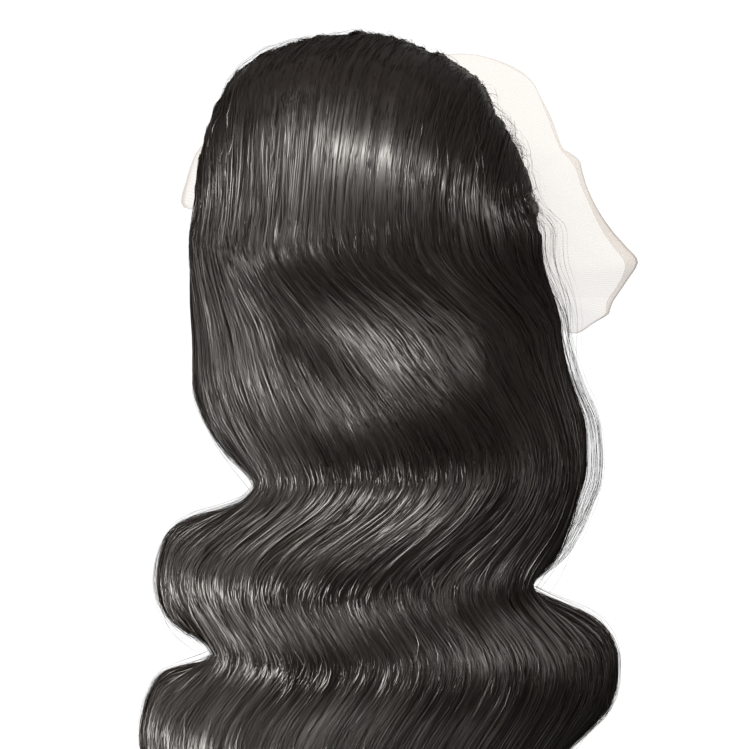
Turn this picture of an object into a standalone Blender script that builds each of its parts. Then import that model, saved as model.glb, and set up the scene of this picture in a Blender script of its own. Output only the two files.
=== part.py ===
"""Lace front wig: a stretch cap, a lace front with its uncut margin, the hair on the cap and the free locks.

The wig stands as it does when worn. +Z is up, the face side looks along -Y and the wearer's left is +X.
The origin is the inside of the cap at the crown, where the head carries it. Lengths are in metres.
"""

import math

import bmesh
import bpy
from mathutils import Vector

# Head form that the cap is cut for
HEAD_WIDTH = 0.154
HEAD_LENGTH = 0.190
CROWN_HEIGHT = 0.095
NAPE_DROP = 0.150

# Cap and lace
CAP_WALL = 0.0015
LACE_WALL = 0.0010
SEAM_GAP = 0.0003
LACE_REACH = 0.132
LACE_FORE = 0.112
LACE_DROP = 0.150
MARGIN_BEND = 0.35
MARGIN_FOLLOW = 0.15
SEAM_EASE = 0.6

# Hair on the cap
HAIR_LIFT = 0.0012
HAIR_ON_CROWN = 0.012
HAIR_ON_SIDES = 0.021
HAIR_AT_BACK = 0.018
HAIRLINE_THICKNESS = 0.003
HAIRLINE_TAPER = 0.016
HAIRLINE_SETBACK = 0.006
HAIRLINE_LOWEST = 0.92
HAIRLINE_SPREAD = 0.9
TAPER_AT_LINE = 0.3
TAPER_AT_ENDS = 0.7
HAIR_FRONT_TURN = math.radians(84)

# Free hair
HAIR_LENGTH = 0.432
FALL_HALF_WIDTH = 0.100
FALL_DEPTH = 0.112
FALL_THICKNESS = 0.026
FALL_EDGE_THICKNESS = 0.012
SPREAD_TURN = math.radians(15)
LOCK_COUNT = 8
LOCK_GAP = 0.0003
LOCK_GROOVE = 0.0025
TIP_STAGGER = 0.012
TIP_START = 0.84
TIP_PINCH = 0.45
TIP_THINNING = 0.75

# How far the waves are rounded off towards the middle, as a share of HAIR_LENGTH
WAVE_EASE = 0.10

# How far below the cap the free hair keeps its shape there, as a share of HAIR_LENGTH
LEAD_OUT = 0.12

# How far above the widest level the strands turn down, as a share of their way over the cap
TURN_DOWN = 0.42

# Fineness of the surfaces
CAP_COLUMNS = 22
CAP_ROWS = 9
LACE_COLUMNS = 30
LACE_ROWS = 6
MARGIN_ROWS = 4
CROWN_ROWS = 15
LOCK_COLUMNS = 4
FALL_ROWS = 38

# Lower edge of the cap: degrees from the back of the head, drop as a share of NAPE_DROP
CAP_RIM = (
    ("turn", "drop"),
    (0, 1.00),
    (28, 0.99),
    (48, 0.91),
    (66, 0.80),
    (80, 0.76),
    (90, 0.79),
)

# Hairline on the lace: degrees from the forehead, drop as a share of CROWN_HEIGHT
HAIRLINE = (
    ("turn", "drop"),
    (0, 0.38),
    (20, 0.40),
    (38, 0.50),
    (52, 0.64),
    (66, 0.82),
    (78, 1.02),
    (90, 1.25),
)

# Uncut edge of the lace on the wearer's right: degrees from the forehead, then shares of LACE_REACH,
# LACE_FORE and LACE_DROP
EDGE_RIGHT = (
    ("turn", "out", "fore", "drop"),
    (0, 0.00, 1.00, -0.01),
    (15, 0.24, 0.97, -0.01),
    (30, 0.46, 0.88, 0.07),
    (42, 0.56, 0.79, 0.19),
    (52, 0.64, 0.71, 0.33),
    (62, 0.73, 0.64, 0.43),
    (70, 0.80, 0.59, 0.53),
    (76, 0.88, 0.56, 0.63),
    (82, 1.00, 0.53, 0.74),
    (86, 0.92, 0.43, 0.86),
    (90, 0.745, 0.27, 0.985),
)

# The same edge on the wearer's left, which turns out in one small tab at the temple
EDGE_LEFT = (
    ("turn", "out", "fore", "drop"),
    (0, 0.00, 1.00, -0.01),
    (15, 0.235, 0.96, 0.03),
    (30, 0.44, 0.87, 0.14),
    (42, 0.61, 0.76, 0.26),
    (52, 0.82, 0.64, 0.34),
    (60, 0.96, 0.56, 0.43),
    (66, 0.965, 0.55, 0.55),
    (72, 0.81, 0.58, 0.64),
    (80, 0.74, 0.54, 0.76),
    (86, 0.71, 0.43, 0.87),
    (90, 0.68, 0.27, 0.96),
)

# Body of the hair on the cap: degrees up from the widest level, then girth and lean as shares of the
# half width there
CROWN = (
    ("rise", "girth", "lean"),
    (0, 0.99, -0.03),
    (9, 0.945, -0.05),
    (22, 0.94, -0.08),
    (37, 0.96, -0.10),
    (51, 1.04, -0.11),
    (60, 1.06, -0.12),
    (69, 1.00, -0.13),
    (78, 0.96, -0.11),
    (90, 0.93, -0.10),
)

# Free hair, a row per section: drop as a share of HAIR_LENGTH, left and right edge as shares of
# FALL_HALF_WIDTH, the middle of the back and the open ends as shares of FALL_DEPTH
FALL = (
    ("drop", "left", "right", "back", "ends"),
    (0.220, -0.99, 0.94, 0.99, 0.02),
    (0.292, -0.99, 1.01, 0.925, 0.05),
    (0.350, -0.97, 1.03, 0.945, 0.10),
    (0.413, -0.96, 1.09, 1.03, 0.16),
    (0.445, -0.90, 1.14, 1.05, 0.20),
    (0.480, -0.79, 1.16, 1.02, 0.24),
    (0.510, -0.64, 1.16, 0.975, 0.28),
    (0.532, -0.62, 1.13, 0.95, 0.30),
    (0.548, -0.72, 1.11, 0.94, 0.32),
    (0.557, -0.93, 1.10, 0.94, 0.33),
    (0.574, -1.07, 1.07, 0.945, 0.34),
    (0.599, -1.13, 1.01, 0.955, 0.36),
    (0.622, -1.15, 0.90, 0.955, 0.38),
    (0.639, -1.15, 0.78, 0.95, 0.39),
    (0.658, -1.13, 0.92, 0.955, 0.40),
    (0.679, -1.06, 1.13, 0.965, 0.42),
    (0.696, -0.93, 1.21, 0.975, 0.43),
    (0.714, -0.72, 1.25, 0.98, 0.44),
    (0.727, -0.80, 1.26, 0.98, 0.45),
    (0.738, -1.08, 1.26, 0.975, 0.46),
    (0.762, -1.18, 1.25, 0.96, 0.47),
    (0.785, -1.22, 1.20, 0.945, 0.48),
    (0.820, -1.24, 1.04, 0.93, 0.50),
    (0.852, -1.20, 0.92, 0.93, 0.51),
    (0.896, -1.08, 1.04, 0.94, 0.52),
    (0.942, -0.92, 1.15, 0.93, 0.53),
    (1.000, -0.86, 1.12, 0.90, 0.53),
)

CENTRE = Vector((0, 0, -CROWN_HEIGHT))
ACROSS = Vector((-math.cos(SPREAD_TURN), -math.sin(SPREAD_TURN), 0))
BACKWARD = Vector((-math.sin(SPREAD_TURN), math.cos(SPREAD_TURN), 0))


def clear_scene():
    for item in list(bpy.data.objects):
        bpy.data.objects.remove(item, do_unlink=True)


def new_collection(name):
    made = bpy.data.collections.new(name)
    bpy.context.scene.collection.children.link(made)
    return made


def material(name, colour, roughness, alpha=1.0):
    made = bpy.data.materials.new(name)
    made.use_nodes = True
    shader = made.node_tree.nodes["Principled BSDF"]
    shader.inputs["Base Color"].default_value = (*colour, 1)
    shader.inputs["Roughness"].default_value = roughness
    shader.inputs["Metallic"].default_value = 0
    shader.inputs["Alpha"].default_value = alpha
    return made


def smoothstep(low, high, value):
    t = min(1.0, max(0.0, (value - low) / (high - low)))
    return t * t * (3 - 2 * t)


def read(table, at, column):
    """The column's value at this place in the table's first column, on a smooth curve through the rows."""
    where = table[0].index(column)
    rows = table[1:]
    last = len(rows) - 1
    k = 0
    while k < last - 1 and rows[k + 1][0] < at:
        k += 1
    start, end = rows[k][0], rows[k + 1][0]
    t = min(1.0, max(0.0, (at - start) / (end - start)))
    values = [rows[min(last, max(0, k + step))][where] for step in (-1, 0, 1, 2)]
    places = [rows[min(last, max(0, k + step))][0] for step in (-1, 0, 1, 2)]

    def slope(first, second):
        run = places[second] - places[first]
        return (values[second] - values[first]) / run if run else 0.0

    width = end - start
    leave, arrive = slope(0, 2) * width, slope(1, 3) * width
    return (
        (2 * t**3 - 3 * t**2 + 1) * values[1]
        + (t**3 - 2 * t**2 + t) * leave
        + (3 * t**2 - 2 * t**3) * values[2]
        + (t**3 - t**2) * arrive
    )


def eased(table, at, column, reach):
    """read, as a mean over the places within reach that counts the near ones most."""
    total = sum((5 - abs(k)) * read(table, at + reach * k / 4, column) for k in range(-4, 5))
    return total / 25


def head_point(turn, drop, grow=0.0):
    """A point of the head form: turn from the back towards the wearer's left, drop below the crown."""
    polar = math.acos(max(-1.0, 1 - drop / CROWN_HEIGHT))
    return CENTRE + Vector(
        (
            (HEAD_WIDTH / 2 + grow) * math.sin(polar) * math.sin(turn),
            (HEAD_LENGTH / 2 + grow) * math.sin(polar) * math.cos(turn),
            (CROWN_HEIGHT + grow) * math.cos(polar),
        )
    )


def on_head(way, grow):
    """The point where a line from the head's centre along way leaves the head form, grown by grow."""
    shape = Vector(
        (
            way.x / (HEAD_WIDTH / 2 + grow),
            way.y / (HEAD_LENGTH / 2 + grow),
            way.z / (CROWN_HEIGHT + grow),
        )
    )
    return CENTRE + way / shape.length


def on_hair(way):
    """The point where a line from the head's centre along way leaves the full body of hair."""
    half_width = HEAD_WIDTH / 2 + HAIR_ON_SIDES
    depth = HEAD_LENGTH / 2 + HAIR_AT_BACK
    height = CROWN_HEIGHT + HAIR_ON_CROWN
    near, far = 0.0, 2 * (half_width + depth)
    for _ in range(40):
        middle = (near + far) / 2
        point = way * middle
        rise = math.asin(max(-1.0, min(1.0, point.z / height)))
        girth = math.cos(rise) * read(CROWN, abs(math.degrees(rise)), "girth")
        lean = read(CROWN, abs(math.degrees(rise)), "lean")
        across = point.dot(ACROSS) / half_width - lean
        if math.hypot(across, point.dot(BACKWARD) / depth) < girth:
            near = middle
        else:
            far = middle
    return CENTRE + way * near


def add_object(name, bm, where, finish, sharp=40):
    mesh = bpy.data.meshes.new(name)
    bmesh.ops.recalc_face_normals(bm, faces=bm.faces)
    bm.to_mesh(mesh)
    bm.free()
    mesh.shade_smooth()
    mesh.set_sharp_from_angle(angle=math.radians(sharp))
    made = bpy.data.objects.new(name, mesh)
    made.data.materials.append(finish)
    where.objects.link(made)
    return made


def fan_and_rows(bm, pole, rows):
    """An open surface: a fan from the pole to the first row of points, then a strip between each two rows."""
    top = bm.verts.new(pole)
    grid = [[bm.verts.new(point) for point in row] for row in rows]
    for left, right in zip(grid[0], grid[0][1:]):
        bm.faces.new((top, left, right))
    for upper, lower in zip(grid, grid[1:]):
        for k in range(len(upper) - 1):
            bm.faces.new((upper[k], lower[k], lower[k + 1], upper[k + 1]))


def slab(bm, outer, inner):
    """A closed body between two like grids of points, rows by columns.

    Its rims are triangles with the same diagonal, so that neighbours meet face to face.
    """
    front = [[bm.verts.new(point) for point in row] for row in outer]
    back = [[bm.verts.new(point) for point in row] for row in inner]
    for r in range(len(front) - 1):
        for c in range(len(front[0]) - 1):
            for side in (front, back):
                bm.faces.new(
                    (side[r][c], side[r + 1][c], side[r + 1][c + 1], side[r][c + 1])
                )
    rims = [
        (front[0], back[0]),
        (front[-1], back[-1]),
        ([row[0] for row in front], [row[0] for row in back]),
        ([row[-1] for row in front], [row[-1] for row in back]),
    ]
    for near, far in rims:
        for k in range(len(near) - 1):
            bm.faces.new((near[k], near[k + 1], far[k + 1]))
            bm.faces.new((near[k], far[k + 1], far[k]))


def shell(name, pole, rows, wall, where, finish):
    bm = bmesh.new()
    fan_and_rows(bm, pole, rows)
    made = add_object(name, bm, where, finish)
    upward = sum((face.normal.z for face in made.data.polygons), 0.0) > 0
    if not upward:
        made.data.flip_normals()
    solid = made.modifiers.new("wall", "SOLIDIFY")
    solid.thickness = wall
    solid.offset = 1
    solid.use_even_offset = True
    return made


def make_cap(where, finish):
    """Ear to ear round the back: the stretch net that carries the wefts."""
    turns = [math.radians(-90 + 180 * k / CAP_COLUMNS) for k in range(CAP_COLUMNS + 1)]
    step_back = Vector((0, SEAM_GAP / 2, 0))
    rows = []
    for r in range(1, CAP_ROWS + 1):
        row = []
        for turn in turns:
            rim = read(CAP_RIM, abs(math.degrees(turn)), "drop") * NAPE_DROP
            polar = math.acos(max(-1.0, 1 - rim / CROWN_HEIGHT)) * r / CAP_ROWS
            row.append(head_point(turn, CROWN_HEIGHT * (1 - math.cos(polar))) + step_back)
        rows.append(row)
    return shell("wig_cap", step_back, rows, CAP_WALL, where, finish)


def lace_edge(turn):
    """The uncut edge of the lace at this turn from the forehead, in radians, plus on the wearer's left."""
    table = EDGE_LEFT if turn > 0 else EDGE_RIGHT
    at = abs(math.degrees(turn))
    return Vector(
        (
            math.copysign(read(table, at, "out") * LACE_REACH, turn),
            -read(table, at, "fore") * LACE_FORE,
            -read(table, at, "drop") * LACE_DROP,
        )
    )


def make_lace(where, finish):
    """Ear to ear over the forehead: the lace that the front hair is tied to, with its margin turned out."""
    turns = [math.radians(-90 + 180 * k / LACE_COLUMNS) for k in range(LACE_COLUMNS + 1)]
    step_fore = Vector((0, -SEAM_GAP / 2, 0))
    rows = []
    for r in range(1, LACE_ROWS + 1):
        row = []
        for turn in turns:
            line = read(HAIRLINE, abs(math.degrees(turn)), "drop") * CROWN_HEIGHT
            polar = math.acos(max(-1.0, 1 - line / CROWN_HEIGHT)) * r / LACE_ROWS
            drop = CROWN_HEIGHT * (1 - math.cos(polar))
            ease = Vector((0, -LACE_WALL * SEAM_EASE * (r / LACE_ROWS) ** 2, 0))
            row.append(head_point(math.pi - turn, drop) + step_fore + ease)
        rows.append(row)
    hairline, above = rows[-1], rows[-2]
    for r in range(1, MARGIN_ROWS + 1):
        t = r / MARGIN_ROWS
        row = []
        for turn, start, before in zip(turns, hairline, above):
            end = lace_edge(turn)
            run = (end - start).length
            bend = start + (end - start) * MARGIN_BEND
            bend += (start - before).normalized() * run * MARGIN_FOLLOW
            row.append(start * (1 - t) ** 2 + bend * 2 * t * (1 - t) + end * t * t)
        rows.append(row)
    return shell("lace_front", step_fore, rows, LACE_WALL, where, finish)


def hair_start(u):
    """Where the strand at u leaves the cap, as a way from the head's centre. u runs from left to right."""
    side = 2 * u - 1
    turn = (math.pi - HAIR_FRONT_TURN) * abs(side) ** HAIRLINE_SPREAD
    line = read(HAIRLINE, min(90.0, math.degrees(turn)), "drop") * CROWN_HEIGHT
    drop = min(line, HAIRLINE_LOWEST * CROWN_HEIGHT) - HAIRLINE_SETBACK * (1 - 0.5 * abs(side))
    return (head_point(math.pi + math.copysign(turn, side), drop) - CENTRE).normalized()


def ring_way(u):
    """The way from the head's centre to the strand at u, where it leaves the cap at the widest level."""
    turn = -HAIR_FRONT_TURN * (2 * u - 1)
    return Vector((HEAD_WIDTH * math.sin(turn), HEAD_LENGTH * math.cos(turn), 0)).normalized()


def between(first, second, t):
    """The way that lies t along the great circle between two ways."""
    angle = math.acos(max(-1.0, min(1.0, first.dot(second))))
    return (math.sin((1 - t) * angle) * first + math.sin(t * angle) * second) / math.sin(angle)


def way_over(first, last, t):
    """The way t along a strand on the cap, which swings round to come straight down to its last way."""
    rise = TURN_DOWN * first.angle(last)
    above = last * math.cos(rise) + Vector((0, 0, math.sin(rise)))
    return between(between(first, above, t), between(above, last, t), t)


def groove(u):
    """How far the hair dips here between two locks, from 0 on a lock to 1 in the groove."""
    inside = smoothstep(0, 1, 2 * LOCK_COUNT * min(u, 1 - u))
    return inside * abs(2 * (u * LOCK_COUNT % 1.0) - 1) ** 4


def crown_pair(u, v):
    """The outer and inner point of the hair on the cap, v of the way along the strand at u."""
    first, last = hair_start(u), ring_way(u)
    way = way_over(first, last, v)
    inner = on_head(way, CAP_WALL + HAIR_LIFT)
    full = on_hair(way)
    body = (full - inner).length
    from_line = first.angle(way) * HEAD_WIDTH / 2
    from_end = min(u, 1 - u) * HAIR_FRONT_TURN * 2 * HEAD_WIDTH / 2
    share = smoothstep(0, HAIRLINE_TAPER, from_line + HAIRLINE_TAPER * TAPER_AT_LINE)
    share = min(share, smoothstep(0, HAIRLINE_TAPER, from_end + HAIRLINE_TAPER * TAPER_AT_ENDS))
    depth = HAIRLINE_THICKNESS + max(0.0, body - HAIRLINE_THICKNESS) * share
    depth -= LOCK_GROOVE * groove(u) * share
    return inner + (full - inner).normalized() * depth, inner


def fall_pair(u, drop):
    """The outer and inner point of the free hair at u, drop below the crown."""
    at = drop / HAIR_LENGTH
    ease = WAVE_EASE * min(u, 1 - u)
    left = eased(FALL, at, "left", ease) * FALL_HALF_WIDTH
    right = eased(FALL, at, "right", ease) * FALL_HALF_WIDTH
    back = read(FALL, at, "back") * FALL_DEPTH
    ends = read(FALL, at, "ends") * FALL_DEPTH
    bend = (u - 0.5) * math.pi
    middle, half = (left + right) / 2, (right - left) / 2
    outer = ACROSS * (middle + half * math.sin(bend)) + BACKWARD * (
        ends + (back - ends) * math.cos(bend)
    )
    normal = (
        ACROSS * math.sin(bend) * (back - ends) + BACKWARD * math.cos(bend) * half
    ).normalized()
    thick = FALL_EDGE_THICKNESS + (FALL_THICKNESS - FALL_EDGE_THICKNESS) * math.cos(bend)
    thick *= 1 - TIP_THINNING * smoothstep(TIP_START, 1.0, at)
    outer -= normal * LOCK_GROOVE * groove(u)
    inner = outer - normal * thick
    level = Vector((0, 0, -drop))
    return outer + level, inner + level


def clear_of_cap(point, drop):
    """The point, moved out level where it would come within the hair's lift of the cap."""
    below = drop / CROWN_HEIGHT - 1
    if below >= 1:
        return point
    girth = math.sqrt(1 - below * below)
    grow = CAP_WALL + 2 * HAIR_LIFT
    share = math.hypot(
        point.x / (HEAD_WIDTH / 2 * girth + grow), point.y / (HEAD_LENGTH / 2 * girth + grow)
    )
    return point / share if share < 1 else point


def free_pair(u, drop):
    """fall_pair, led smoothly out of the hair on the cap."""
    outer, inner = fall_pair(u, drop)
    top_outer, top_inner = crown_pair(u, 1.0)
    share = smoothstep(0, LEAD_OUT * HAIR_LENGTH, drop - CROWN_HEIGHT)
    level = Vector((0, 0, -drop))
    top_outer.z = top_inner.z = 0
    outer = top_outer.lerp(outer - level, share) + level
    inner = clear_of_cap(top_inner.lerp(inner - level, share), drop) + level
    return outer, inner


def make_crown_hair(where, finish):
    """The hair that lies on the cap, swept back from the hairline, in one mat of locks."""
    columns = LOCK_COUNT * LOCK_COLUMNS
    outer, inner = [], []
    for r in range(CROWN_ROWS + 1):
        pairs = [crown_pair(c / columns, r / CROWN_ROWS) for c in range(columns + 1)]
        outer.append([pair[0] for pair in pairs])
        inner.append([pair[1] for pair in pairs])
    bm = bmesh.new()
    slab(bm, outer, inner)
    return add_object("hair_crown", bm, where, finish)


def make_lock(number, where, finish):
    """One free lock, from the widest level of the cap to its tip."""
    stagger = TIP_STAGGER * math.sin(2.4 * number)
    top = CROWN_HEIGHT + SEAM_GAP
    outer, inner = [], []
    for r in range(FALL_ROWS + 1):
        share = r / FALL_ROWS
        tip = smoothstep(TIP_START, 1.0, share)
        drop = top + (HAIR_LENGTH - TIP_STAGGER - top) * share + stagger * tip
        pairs = []
        for c in range(LOCK_COLUMNS + 1):
            pairs.append(free_pair((number + c / LOCK_COLUMNS) / LOCK_COUNT, drop))
        for side, k in ((outer, 0), (inner, 1)):
            points = [pair[k] for pair in pairs]
            middle = (points[0] + points[-1]) / 2
            width = (points[-1] - points[0]).length
            keep = (1 - TIP_PINCH * tip) * (1 - LOCK_GAP / width)
            side.append([middle + (point - middle) * keep for point in points])
    bm = bmesh.new()
    slab(bm, outer, inner)
    return add_object(f"hair_lock_{number + 1}", bm, where, finish)


def main():
    clear_scene()
    wig = new_collection("lace_front_wig")
    hair = material("hair", (0.020, 0.016, 0.014), 0.36)
    lace = material("lace", (0.86, 0.79, 0.70), 0.80, alpha=0.35)
    net = material("cap_net", (0.045, 0.036, 0.030), 0.85)
    make_cap(wig, net)
    make_lace(wig, lace)
    make_crown_hair(wig, hair)
    for number in range(LOCK_COUNT):
        make_lock(number, wig, hair)


main()
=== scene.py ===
"""Lace front wig with long off-black body wave hair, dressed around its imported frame.

Laid out as a Blender add-on: sizes and colours are in property groups, and each group of like pieces
has an operator. Run as a script, it makes the whole wig and its stage.
"""

import math

import bmesh
import bpy
import numpy as np
from bpy.props import FloatProperty, FloatVectorProperty, IntProperty, PointerProperty
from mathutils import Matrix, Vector


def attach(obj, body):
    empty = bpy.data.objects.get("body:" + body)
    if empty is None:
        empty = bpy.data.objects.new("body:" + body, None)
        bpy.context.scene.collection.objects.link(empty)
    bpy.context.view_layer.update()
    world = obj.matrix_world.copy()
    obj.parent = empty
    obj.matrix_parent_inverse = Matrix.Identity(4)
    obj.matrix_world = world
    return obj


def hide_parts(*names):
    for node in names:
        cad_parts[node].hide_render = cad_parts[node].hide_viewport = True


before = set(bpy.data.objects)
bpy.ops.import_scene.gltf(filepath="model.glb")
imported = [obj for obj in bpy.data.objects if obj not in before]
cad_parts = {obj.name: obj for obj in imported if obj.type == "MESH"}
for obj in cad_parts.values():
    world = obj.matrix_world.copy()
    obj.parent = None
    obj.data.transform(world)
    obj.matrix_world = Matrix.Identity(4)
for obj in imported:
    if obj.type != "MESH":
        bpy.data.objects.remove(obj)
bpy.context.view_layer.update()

bl_info = {
    "name": "Lace Front Wig",
    "version": (1, 0, 0),
    "blender": (4, 5, 0),
    "location": "View3D > Sidebar > Wig",
    "description": "Makes a lace front wig with long body wave hair on its cap",
    "category": "Add Mesh",
}

# Head form that the cap is cut for, and the walls on it, in metres
HEAD_WIDTH = 0.154
HEAD_LENGTH = 0.190
CROWN_HEIGHT = 0.095
NAPE_DROP = 0.150
CAP_WALL = 0.0015
HAIR_LIFT = 0.0012
LACE_REACH = 0.132
LACE_FORE = 0.112
LACE_DROP = 0.150

# Body of hair
HAIR_ON_CROWN = 0.012
HAIR_ON_SIDES = 0.021
HAIR_AT_BACK = 0.018
HAIRLINE_THICKNESS = 0.002
HAIRLINE_TAPER = 0.014
HAIR_FRONT_TURN = math.radians(84)
HAIR_LENGTH = 0.432
FALL_HALF_WIDTH = 0.100
FALL_DEPTH = 0.112
FALL_THICKNESS = 0.026
FALL_EDGE_THICKNESS = 0.012
SPREAD_TURN = math.radians(15)
WAVE_EASE = 0.34
WAVE_EASE_MOST = 0.058
LEAD_OUT = 0.12
TURN_DOWN = 0.42

# Where along the lace, from the crown to its edge, the hairline and the fold lie
DOME_END = 0.52
MARGIN_END = 0.93

# View of the photograph
VIEW_TURN = math.radians(195)
VIEW_RISE = math.radians(4)
VIEW_DISTANCE = 1.8
VIEW_HEIGHT = -0.1695
FRAME_SIDE = 0.397
SENSOR = 36.0
FLOOR_DROP = 0.80

# Lower edge of the cap: degrees from the back of the head, drop as a share of NAPE_DROP
CAP_RIM = (
    ("turn", "drop"),
    (0, 1.00),
    (28, 0.99),
    (48, 0.91),
    (66, 0.80),
    (80, 0.76),
    (90, 0.79),
)

# Hairline on the lace: degrees from the forehead, drop as a share of CROWN_HEIGHT
HAIRLINE = (
    ("turn", "drop"),
    (0, 0.38),
    (20, 0.40),
    (38, 0.50),
    (52, 0.64),
    (66, 0.82),
    (78, 1.02),
    (90, 1.25),
)

# Uncut edge of the lace: degrees from the forehead, shares of LACE_REACH, LACE_FORE and LACE_DROP, and
# the width that is folded back over the lace, as a share of FOLD_WIDTH
FOLD_WIDTH = 0.014
EDGE_RIGHT = (
    ("turn", "out", "fore", "drop", "fold"),
    (0, 0.00, 1.00, -0.01, 0.05),
    (15, 0.24, 0.97, -0.01, 0.05),
    (30, 0.46, 0.88, 0.07, 0.08),
    (42, 0.56, 0.79, 0.19, 0.10),
    (52, 0.64, 0.71, 0.33, 0.14),
    (55, 0.685, 0.665, 0.350, 0.24),
    (57.5, 0.725, 0.645, 0.376, 0.32),
    (60, 0.735, 0.64, 0.412, 0.20),
    (65, 0.755, 0.62, 0.465, 0.18),
    (70, 0.80, 0.59, 0.53, 0.26),
    (76, 0.88, 0.56, 0.63, 0.36),
    (79, 0.94, 0.545, 0.685, 0.50),
    (82, 0.995, 0.53, 0.74, 0.62),
    (84, 0.955, 0.49, 0.807, 0.34),
    (86.3, 0.900, 0.42, 0.887, 0.22),
    (87, 0.893, 0.40, 0.919, 0.12),
    (88, 0.840, 0.36, 0.951, 0.06),
    (89, 0.790, 0.32, 0.985, 0.05),
    (90, 0.745, 0.27, 0.985, 0.05),
)
EDGE_LEFT = (
    ("turn", "out", "fore", "drop", "fold"),
    (0, 0.00, 1.00, -0.01, 0.05),
    (15, 0.235, 0.96, 0.03, 0.05),
    (30, 0.44, 0.87, 0.14, 0.08),
    (42, 0.66, 0.76, 0.25, 0.10),
    (50, 0.86, 0.65, 0.30, 0.08),
    (54, 0.905, 0.60, 0.34, 0.08),
    (58, 0.932, 0.585, 0.385, 0.08),
    (62, 0.952, 0.57, 0.455, 0.12),
    (66, 0.965, 0.555, 0.545, 0.20),
    (68, 0.900, 0.555, 0.565, 0.15),
    (72, 0.800, 0.58, 0.625, 0.12),
    (80, 0.740, 0.54, 0.76, 0.10),
    (86, 0.71, 0.43, 0.87, 0.10),
    (90, 0.68, 0.27, 0.96, 0.05),
)

# Body of the hair on the cap: degrees up from the widest level, girth and lean as shares of the half
# width there
CROWN = (
    ("rise", "girth", "lean"),
    (0, 0.99, -0.03),
    (9, 0.945, -0.05),
    (22, 0.94, -0.08),
    (37, 0.96, -0.10),
    (51, 1.04, -0.11),
    (60, 1.06, -0.12),
    (69, 1.00, -0.13),
    (78, 0.96, -0.11),
    (90, 0.93, -0.10),
)

# Free hair: drop as a share of HAIR_LENGTH, edges as shares of FALL_HALF_WIDTH, the middle of the back
# and the open ends as shares of FALL_DEPTH
FALL = (
    ("drop", "left", "right", "back", "ends"),
    (0.220, -0.99, 0.94, 0.99, 0.02),
    (0.292, -0.99, 1.01, 0.93, 0.05),
    (0.350, -0.97, 1.03, 0.940, 0.10),
    (0.413, -0.96, 1.09, 0.955, 0.16),
    (0.445, -0.90, 1.14, 0.955, 0.20),
    (0.480, -0.79, 1.16, 0.940, 0.24),
    (0.510, -0.64, 1.16, 0.935, 0.28),
    (0.532, -0.62, 1.13, 0.935, 0.30),
    (0.548, -0.72, 1.11, 0.94, 0.32),
    (0.557, -0.93, 1.10, 0.94, 0.33),
    (0.574, -1.07, 1.07, 0.945, 0.34),
    (0.599, -1.13, 1.01, 0.955, 0.36),
    (0.622, -1.15, 0.90, 0.955, 0.38),
    (0.639, -1.15, 0.78, 0.95, 0.39),
    (0.658, -1.13, 0.92, 0.955, 0.40),
    (0.679, -1.06, 1.13, 0.965, 0.42),
    (0.696, -0.93, 1.21, 0.975, 0.43),
    (0.714, -0.72, 1.25, 0.98, 0.44),
    (0.727, -0.80, 1.26, 0.98, 0.45),
    (0.738, -1.08, 1.26, 0.975, 0.46),
    (0.762, -1.18, 1.25, 0.970, 0.47),
    (0.785, -1.22, 1.20, 0.965, 0.48),
    (0.820, -1.24, 1.04, 0.960, 0.50),
    (0.852, -1.20, 0.92, 0.955, 0.51),
    (0.896, -1.08, 1.04, 0.945, 0.52),
    (0.942, -0.92, 1.15, 0.93, 0.53),
    (1.000, -0.86, 1.12, 0.90, 0.53),
)

# Locks that the strands gather into, coarse to fine: how many across the hair, how high they stand, how
# far they pull the strands together and how far they wander on the way down
LOCKS = (
    ("count", "height", "pull", "drift"),
    (6, 0.0010, 0.06, 0.9),
    (15, 0.0005, 0.07, 1.7),
    (37, 0.00016, 0.07, 2.9),
    (90, 0.00004, 0.06, 4.3),
)

# Ridges in the back of the free hair: the crest's middle across and up from the crown's level, its turn
# from level, its half length and half width, and how far it stands out, in metres
RIDGES = (
    ("across", "up", "turn", "length", "width", "height"),
    (0.016, -0.040, 0, 0.052, 0.0260, 0.0082),
    (-0.056, -0.101, -20, 0.018, 0.0140, 0.0050),
    (-0.002, -0.133, -6, 0.038, 0.0110, -0.0055),
    (-0.010, -0.147, -12, 0.030, 0.0070, 0.0046),
    (-0.024, -0.168, -32, 0.026, 0.0100, -0.0085),
    (-0.056, -0.188, -10, 0.018, 0.0120, -0.0050),
    (0.032, -0.179, -12, 0.023, 0.0180, 0.0150),
    (-0.008, -0.216, 8, 0.038, 0.0150, -0.0070),
    (0.064, -0.136, 0, 0.022, 0.0200, 0.0060),
    (-0.062, -0.215, -20, 0.030, 0.0120, 0.0055),
    (-0.014, -0.253, 22, 0.055, 0.0130, 0.0086),
    (0.055, -0.219, 20, 0.020, 0.0100, 0.0030),
    (-0.034, -0.297, 8, 0.075, 0.0125, 0.0088),
    (0.050, -0.291, 8, 0.035, 0.0100, -0.0030),
    (0.072, -0.271, 14, 0.020, 0.0060, 0.0030),
    (0.056, -0.317, -3, 0.065, 0.0080, 0.0034),
    (-0.040, -0.365, 0, 0.080, 0.0300, 0.0160),
)

# Long swells in the surface, which each lock has at its own place: height on the cap and in the free
# hair, and length, in metres
SWELL_ON_CAP = 0.0012
SWELL_BELOW = 0.0005
SWELL_LENGTH = 0.080

# How far the middle strands swing to the right down the back: drop as a share of HAIR_LENGTH, and the
# swing as a share of the hair's width
SWING = (
    ("drop", "swing"),
    (0.220, 0.000),
    (0.290, 0.012),
    (0.350, 0.045),
    (0.420, 0.105),
    (0.480, 0.120),
    (0.600, 0.050),
    (0.750, 0.010),
    (1.000, 0.000),
)

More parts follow.
